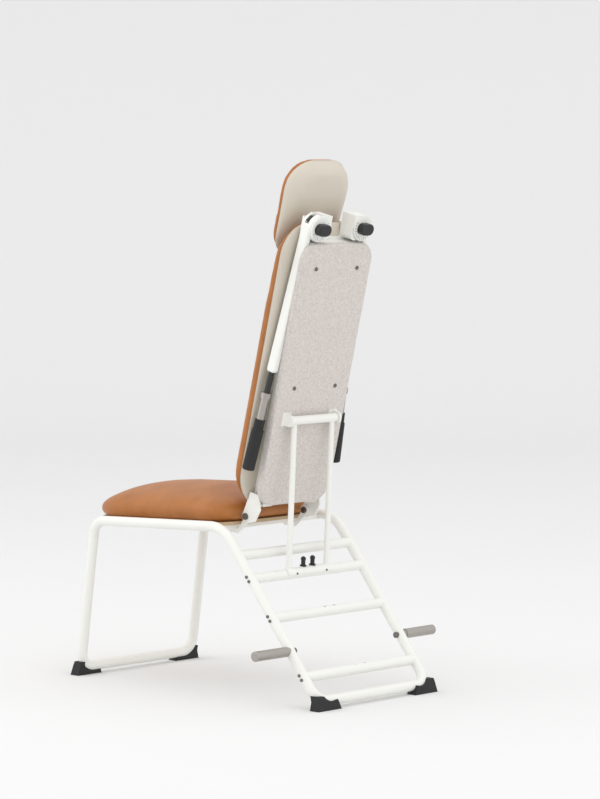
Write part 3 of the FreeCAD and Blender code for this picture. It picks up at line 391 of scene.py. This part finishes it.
# %% Frames for the backrest and the seat
class Placement:
    """Three axes and an origin: rows of (a, b, c) become rows of world (x, y, z) and back."""

    def __init__(self, origin, axes):
        self.origin = np.array(origin, float)
        self.axes = np.array(axes, float)

    def world(self, points):
        return self.origin + np.asarray(points, float) @ self.axes

    def local(self, points):
        return (np.asarray(points, float) - self.origin) @ self.axes.T

    def span(self, node):
        """Lowest and highest (a, b, c) of one of the model's nodes."""
        mesh = NODES[node].data
        flat = np.empty(len(mesh.vertices) * 3, np.float32)
        mesh.vertices.foreach_get("co", flat)
        points = self.local(flat.reshape(-1, 3))
        return points.min(axis=0), points.max(axis=0)


through = np.array(JOINTS["arm_right_swing"]["axis"])          # rearward through the backrest
along = np.array([0.0, -through[2], through[1]])
BACK = Placement(JOINTS["backrest_recline"]["pos_m"], [(1, 0, 0), through, along])
SEAT_SLOPE = math.radians(2.26)
SEAT = Placement((0, 0, 0), [(1, 0, 0), (0, -math.sin(SEAT_SLOPE), math.cos(SEAT_SLOPE)),
                             (0, math.cos(SEAT_SLOPE), math.sin(SEAT_SLOPE))])
print("backrest leans", round(math.degrees(math.atan2(along[2], along[1])), 1), "degrees")

# %% [markdown]
# ## Rings round an outline
# Cushions, shells and the felt panel are all the same idea: a rounded outline, drawn in again and
# again towards its own middle line while the surface rises or falls. A table of (inset, height)
# pairs is the cross-section, so one function makes a pillow, a dished shell or a padded panel.

# %% Outline and ring surface
def rounded_outline(half, low, high, r_low, r_high, count=160):
    """Points round a rectangle with round corners, evenly spaced: straight runs and quarter circles.

    Returns the outline and, for each point, the nearest point of the middle line.
    """
    corners = [(half - r_high, high - r_high, r_high, 0.0),
               (-half + r_high, high - r_high, r_high, 90.0),
               (-half + r_low, low + r_low, r_low, 180.0),
               (half - r_low, low + r_low, r_low, 270.0)]
    pieces = []
    for cx, cy, r, start in corners:
        turn = np.radians(start + np.linspace(0.0, 90.0, 25))
        pieces.append(np.stack([cx + r * np.cos(turn), cy + r * np.sin(turn)], axis=1))
    loop = np.concatenate(pieces + [pieces[0][:1]])
    steps = np.linalg.norm(np.diff(loop, axis=0), axis=1)
    measure = np.concatenate([[0.0], np.cumsum(steps)])
    # start on the middle of the right side; the halves mirror each other only when both radii are
    # equal, and otherwise the points of the middle line don't meet and stay unmerged
    begin = measure[-1] - steps[-1] / 2.0
    want = (begin + np.arange(count) * measure[-1] / count) % measure[-1]
    outline = np.stack([np.interp(want, measure, loop[:, axis]) for axis in (0, 1)], axis=1)
    reach = min(half, (high - low) / 2.0 - 1e-4)
    spine = np.stack([np.zeros(count), np.clip(outline[:, 1], low + reach, high - reach)], axis=1)
    return outline, spine


def finished(name, points, faces, material, smooth=True, merge=0.0, angle=None):
    """A mesh object at the origin, with merged doubles, outward normals and its finish."""
    mesh = bpy.data.meshes.new(name)
    mesh.from_pydata(np.asarray(points, float).tolist(), [], np.asarray(faces).tolist()
                     if isinstance(faces, np.ndarray) else faces)
    work = bmesh.new()
    work.from_mesh(mesh)
    if merge:
        bmesh.ops.remove_doubles(work, verts=work.verts, dist=merge)
    bmesh.ops.recalc_face_normals(work, faces=work.faces)
    work.to_mesh(mesh)
    work.free()
    if smooth:
        mesh.shade_smooth()
    if angle is not None:
        mesh.set_sharp_from_angle(angle=math.radians(angle))
    mesh.materials.append(material)
    obj = bpy.data.objects.new(name, mesh)
    bpy.context.scene.collection.objects.link(obj)
    return obj


def ring_faces(rings, count, closed=True):
    """Quads between rings of points numbered ring by ring."""
    k, i = np.meshgrid(np.arange(rings - 1), np.arange(count if closed else count - 1), indexing="ij")
    j = (i + 1) % count
    quads = np.stack([k * count + i, k * count + j, (k + 1) * count + j, (k + 1) * count + i], axis=-1)
    return quads.reshape(-1, 4)


def ringed(name, placement, outline, spine, section, material, height=None, angle=None):
    """A surface from rings: point = spine + inset * (outline - spine), raised by the section.

    section is rows of (inset, height); height(points, base) may reshape the heights over the plan.
    """
    section = np.asarray(section, float)
    inset = section[:, 0][:, None, None]
    plan = spine[None] + inset * (outline - spine)[None]
    rise = np.repeat(section[:, 1][:, None], len(outline), axis=1)
    if height is not None:
        rise = height(plan, rise, section[:, 0][:, None])
    points = np.stack([plan[..., 0], rise, plan[..., 1]], axis=-1).reshape(-1, 3)
    return finished(name, placement.world(points), ring_faces(len(section), len(outline)), material,
                    merge=1e-5, angle=angle)


print("ring surfaces ready")

# %% [markdown]
# ## Padding that has been blown up
# Foam under leather is never flat: it swells between the places that hold it. Each cushion starts
# as a ring surface a little too small, is rebuilt as an even net, and is blown up as cloth for a
# few steps. The movement is capped so the pad keeps the size the model gives it. On these pads
# almost every point reaches the cap, so the ring surface sets the shape of the pad and the cloth
# sets only the way each point moves.

# %% Blow up a pad
VOXEL = 0.006
STEPS = 18


def blow_up(pad, cap, pressure=4.0):
    """Even net, then cloth under inner pressure without gravity, with its movement capped."""
    bpy.context.view_layer.objects.active = pad
    remesh = pad.modifiers.new("even_net", "REMESH")
    remesh.mode = "VOXEL"
    remesh.voxel_size = VOXEL
    remesh.use_smooth_shade = True
    settle(pad)
    before = coordinates(pad.data)
    cloth = pad.modifiers.new("blow", "CLOTH")
    cloth.settings.use_pressure = True
    cloth.settings.uniform_pressure_force = pressure
    cloth.settings.effector_weights.gravity = 0.0
    cloth.settings.quality = 4
    scene = bpy.context.scene
    for step in range(1, STEPS + 1):
        scene.frame_set(step)
    evaluated = pad.evaluated_get(bpy.context.evaluated_depsgraph_get())
    after = coordinates(evaluated.data)
    pad.modifiers.remove(cloth)
    scene.frame_set(1)
    move = after - before
    far = np.linalg.norm(move, axis=1, keepdims=True)
    move *= np.minimum(1.0, cap / np.maximum(far, 1e-9))
    pad.data.vertices.foreach_set("co", (before + move).astype(np.float32).ravel())
    pad.data.update()
    print(pad.name, "net", len(before), "moved up to", round(float(far.max()) * 1000, 1),
          "mm, capped at", cap * 1000)
    return pad


def settle(obj):
    """Apply an object's modifiers to its mesh."""
    graph = bpy.context.evaluated_depsgraph_get()
    mesh = bpy.data.meshes.new_from_object(obj.evaluated_get(graph))
    old = obj.data
    obj.modifiers.clear()
    obj.data = mesh
    mesh.shade_smooth()
    bpy.data.meshes.remove(old)


def coordinates(mesh):
    flat = np.empty(len(mesh.vertices) * 3, np.float32)
    mesh.vertices.foreach_get("co", flat)
    return flat.reshape(-1, 3).astype(float)


def smooth_pad(pad, rounds=1):
    """A light smoothing and one live subdivision."""
    relax = pad.modifiers.new("relax", "SMOOTH")
    relax.factor = 0.5
    relax.iterations = 6 * rounds
    divide = pad.modifiers.new("divide", "SUBSURF")
    divide.levels = divide.render_levels = 1
    return pad


# %% [markdown]
# ## Seat cushion
# The cross-section of a pad is shared. The seat then thins it towards its nose.

# %% Seat cushion
def pad_section(base, edge, crown, steps=15):
    """From the flat underside round a full edge to the crown: (inset, height) rows.

    The side is part of an ellipse standing on the rim, and the top is a long shallow arch.
    """
    under = [(0.0, base), (0.5, base), (0.93, base)]
    turn = np.linspace(-0.55, 1.0, steps) * math.pi / 2
    side = np.stack([0.93 + 0.07 * np.cos(turn),
                     base + (edge - base) * (0.5 + 0.5 * np.sin(turn))], axis=1)
    inner = np.linspace(0.93, 0.0, steps)[1:]
    top = np.stack([inner, edge + (crown - edge) * (1.0 - (inner / 0.93) ** 2.0)], axis=1)
    return np.concatenate([under, side, top])


low, high = SEAT.span("seat_cushion")
outline, spine = rounded_outline(high[0] - 0.006, low[2] + 0.006, high[2] - 0.004, 0.125, 0.058)
seat_base, seat_top = low[1] + 0.003, high[1] - 0.006


def seat_height(plan, rise, inset):
    """The seat is thin at its nose and fullest two thirds of the way back."""
    share = np.clip((plan[..., 1] - low[2]) / (high[2] - low[2]), 0.0, 1.0)
    fullness = np.interp(share, [0.0, 0.06, 0.2, 0.45, 0.75, 0.92, 1.0],
                         [0.60, 0.76, 0.92, 1.0, 1.0, 0.95, 0.88])
    return seat_base + (rise - seat_base) * fullness


seat_pad = ringed("seat_pad", SEAT, outline, spine,
                  pad_section(seat_base, seat_base + 0.046, seat_top), TAN_LEATHER, seat_height)
blow_up(seat_pad, 0.006)
smooth_pad(seat_pad)
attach(seat_pad, "base")
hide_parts("seat_cushion")
print("seat pad", [round(v, 3) for v in low], [round(v, 3) for v in high])

# %% [markdown]
# ## Backrest cushion
# The same section, on the leaning frame, with a crown that fades towards both ends.

# %% Backrest cushion
low, high = BACK.span("back_cushion")
outline, spine = rounded_outline(high[0] - 0.003, low[2] + 0.004, high[2] - 0.004, 0.092, 0.078)
back_rim, back_crown = high[1] - 0.0005, low[1] + 0.005


def back_height(plan, rise, inset):
    """The crown fades towards both ends, more at the bottom where it meets the seat."""
    share = np.clip((plan[..., 1] - low[2]) / (high[2] - low[2]), 0.0, 1.0)
    fullness = np.interp(share, [0.0, 0.05, 0.14, 0.30, 0.70, 0.86, 0.95, 1.0],
                         [0.72, 0.86, 0.97, 1.0, 1.0, 0.82, 0.62, 0.50])
    return back_rim + (rise - back_rim) * fullness


back_pad = ringed("back_pad", BACK, outline, spine,
                  pad_section(back_rim, back_rim - 0.030, back_crown), TAN_LEATHER, back_height)
blow_up(back_pad, 0.004)
smooth_pad(back_pad)
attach(back_pad, "backrest")
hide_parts("back_cushion")

# %% [markdown]
# ## Headrest cushion
# The headrest is small and rolls rearward at its top.

# %% Headrest cushion
low, high = BACK.span("headrest_cushion")
shell_low, shell_high = BACK.span("headrest_shell")
outline, spine = rounded_outline(high[0] - 0.003, low[2] + 0.003, high[2] - 0.003, 0.043, 0.075)
head_rim, head_crown = shell_low[1] + 0.001, low[1] + 0.004
CURL_START = high[2] - 0.060
CURL_DEPTH = 0.012


def curl(length):
    """The headrest's top rolls rearward on a parabola."""
    past = np.clip((length - CURL_START) / (high[2] - CURL_START), 0.0, 1.0)
    return CURL_DEPTH * past ** 2


def head_height(plan, rise, inset):
    """The headrest is fullest in its lower half, where the neck rests."""
    share = np.clip((plan[..., 1] - low[2]) / (high[2] - low[2]), 0.0, 1.0)
    fullness = np.interp(share, [0.0, 0.1, 0.3, 0.6, 0.85, 1.0], [0.35, 0.75, 1.0, 1.0, 0.9, 0.8])
    return head_rim + (rise - head_rim) * fullness + curl(plan[..., 1])


head_pad = ringed("head_pad", BACK, outline, spine,
                  pad_section(head_rim, head_rim - 0.018, head_crown), TAN_LEATHER, head_height)
blow_up(head_pad, 0.004)
smooth_pad(head_pad)
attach(head_pad, "backrest")
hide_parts("headrest_cushion")
print("three pads made")

# %% [markdown]
# ## Moulded shells
# Behind each cushion is a thin moulding. Its edge meets the leather at the seam, then the surface
# sweeps in towards the spine, so the side of the back looks slimmer than it is.

# %% Backrest shell and headrest shell
low, high = BACK.span("back_shell")
outline, spine = rounded_outline(high[0], low[2], high[2], 0.095, 0.080)
inset = np.linspace(1.0, 0.0, 26)
fade = (1.0 - np.clip((inset - 0.70) / 0.30, 0, 1) ** 2.2) ** 0.75
sweep = low[1] + 0.002 + (high[1] - low[1] - 0.002) * fade
section = np.concatenate([[(0.0, low[1]), (0.6, low[1]), (0.985, low[1])],
                          [(0.997, low[1] + 0.0004)], np.stack([inset, sweep], axis=1)])
back_cover = ringed("back_cover", BACK, outline, spine, section, SHELL_GREIGE)
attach(back_cover, "backrest")
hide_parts("back_shell")

low, high = shell_low, shell_high
outline, spine = rounded_outline(high[0] - 0.001, low[2], high[2] - 0.007, 0.045, 0.078)


def head_shell_height(plan, rise, inset):
    """Thin at the lower lip, deep towards the top, and curling with the cushion."""
    share = np.clip((plan[..., 1] - low[2]) / (high[2] - low[2]), 0.0, 1.0)
    depth = np.interp(share, [0.0, 0.25, 0.6, 0.85, 1.0], [0.06, 0.34, 0.74, 0.95, 0.80])
    rolled = curl(plan[..., 1]) * (1.0 - 0.75 * (rise > head_rim + 0.008))
    return head_rim + (rise - head_rim) * depth + rolled


inset = np.linspace(1.0, 0.0, 22)
fade = (1.0 - np.clip((inset - 0.55) / 0.45, 0, 1) ** 2.4) ** 0.7
sweep = head_rim + 0.003 + (high[1] - 0.004 - head_rim) * fade
section = np.concatenate([[(0.0, head_rim), (0.6, head_rim), (0.985, head_rim)],
                          np.stack([inset, sweep], axis=1)])
head_cover = ringed("head_cover", BACK, outline, spine, section, SHELL_GREIGE,
                    head_shell_height)
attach(head_cover, "backrest")
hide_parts("headrest_shell")
print("shells made")

# %% [markdown]
# ## The felt panel
# The rear cover is a shallow tray pressed from felt. Its flat face turns over a soft edge into a
# straight rim.

# %% Felt panel
low, high = BACK.span("rear_panel")
outline, spine = rounded_outline(high[0], low[2], high[2], 0.050, 0.044, 200)
depth = high[1] - low[1]
EDGE_TURN = 0.035       # how far in the soft edge reaches, as a share of the half width
EDGE_FALL = 0.0045      # and how far it drops
turn = np.linspace(0.0, math.pi / 2, 9)
section = np.concatenate([[(0.0, low[1]), (0.955, low[1])], [(1.0, low[1])],
                          np.stack([1.0 - EDGE_TURN * (1 - np.cos(turn)),
                                    high[1] - EDGE_FALL * (1 - np.sin(turn))], axis=1),
                          [(0.9, high[1]), (0.6, high[1]), (0.3, high[1]), (0.0, high[1])]])
felt_panel = ringed("felt_panel", BACK, outline, spine, section, FELT, angle=50)
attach(felt_panel, "backrest")
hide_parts("rear_panel")
print("felt panel", round(depth * 1000, 1), "mm deep")

# %% [markdown]
# ## Fittings
# Small hardware carries much of the realism. The clamp knobs, grips, discs, brackets and corner
# shoes are softened with a bevel, and each rung bolt stays plain.

# %% Softened edges
def softened(nodes, width, segments=3, angle=35):
    """A live bevel on the model's own nodes, so their edges catch the light."""
    for node in nodes:
        obj = NODES[node]
        bevel = obj.modifiers.new("softened", "BEVEL")
        bevel.width = width
        bevel.segments = segments
        bevel.limit_method = "ANGLE"
        bevel.angle_limit = math.radians(angle)


SIDES = ("left", "right")
softened([f"foot_{place}_{side}" for place in ("front", "rear") for side in SIDES], 0.0016)
softened([f"clamp_knob_{side}" for side in SIDES] + [f"grip_{side}" for side in SIDES], 0.0008)
softened([f"index_disc_{side}" for side in SIDES] + ["hub_plate"], 0.0007, 2)
softened([f"{kind}_bracket_{side}" for kind in ("prop", "hinge") for side in SIDES], 0.0006, 2)
print("edges softened")

# %% [markdown]
# ## Dial ticks
# Thin raised bars stand round each index disc, with a longer one every third step.

# %% Dial ticks
TICK_COUNT = 13
TICK_START = 150.0      # degrees
TICK_STEP = 15.0
TICK_INNER = 0.0255
TICK_OUTER = 0.0300
TICK_WIDTH = 0.0009


def ticks(side, sign):
    """Thin raised bars round a dial: tick k stands at angle a_k on radius r0..r1."""
    low, high = BACK.span(f"index_disc_{side}")
    hub = BACK.local(np.array([JOINTS[f"clamp_knob_{side}_turn"]["pos_m"]]))[0]
    points, faces = [], []
    for k in range(TICK_COUNT):
        a = math.radians(TICK_START + k * TICK_STEP)
        r0, r1, half = TICK_INNER - 0.003 * (k % 3 == 0), TICK_OUTER, TICK_WIDTH / 2
        way = np.array([math.cos(a), math.sin(a)])
        side_way = np.array([-way[1], way[0]])
        base = len(points)
        for depth in (high[1] - 0.0003, high[1] + 0.0003):
            for r, s in ((r0, -half), (r1, -half), (r1, half), (r0, half)):
                p = way * r + side_way * s
                points.append((hub[0] - sign * p[0], depth, hub[2] + p[1]))
        quad = [(0, 1, 2, 3), (4, 5, 6, 7), (0, 1, 5, 4), (1, 2, 6, 5), (2, 3, 7, 6), (3, 0, 4, 7)]
        faces += [[base + i for i in q] for q in quad]
    dial = finished(f"dial_ticks_{side}", BACK.world(points), faces, BLACK_PLASTIC, smooth=False)
    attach(dial, "backrest")


for side, sign in (("left", -1.0), ("right", 1.0)):
    ticks(side, sign)
print("dials marked")

# %% [markdown]
# ## Seams
# A fine cord marks where the back cushion meets its shell.

# %% Seams
def seam(name, placement, outline, depth, body, radius=0.0011):
    """A thin closed cord along an outline: a circle of the given radius carried round the loop."""
    count, around = len(outline), 8
    ahead = np.roll(outline, -1, axis=0) - np.roll(outline, 1, axis=0)
    ahead /= np.linalg.norm(ahead, axis=1, keepdims=True)
    outward = np.stack([ahead[:, 1], -ahead[:, 0]], axis=1)
    points = []
    for a in np.arange(around) * 2 * math.pi / around:
        plan = outline + outward * radius * math.cos(a)
        level = np.full(count, depth + radius * math.sin(a))
        points.append(np.stack([plan[:, 0], level, plan[:, 1]], axis=1))
    points = np.stack(points + [points[0]]).reshape(-1, 3)
    cord = finished(name, placement.world(points), ring_faces(around + 1, count), TAN_LEATHER,
                    merge=1e-6)
    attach(cord, body)


low, high = BACK.span("back_cushion")
outline, spine = rounded_outline(high[0] - 0.0006, low[2] + 0.0006, high[2] - 0.0006, 0.094, 0.079, 240)
seam("back_seam", BACK, outline, back_rim - 0.0008, "backrest")
print("seam made")
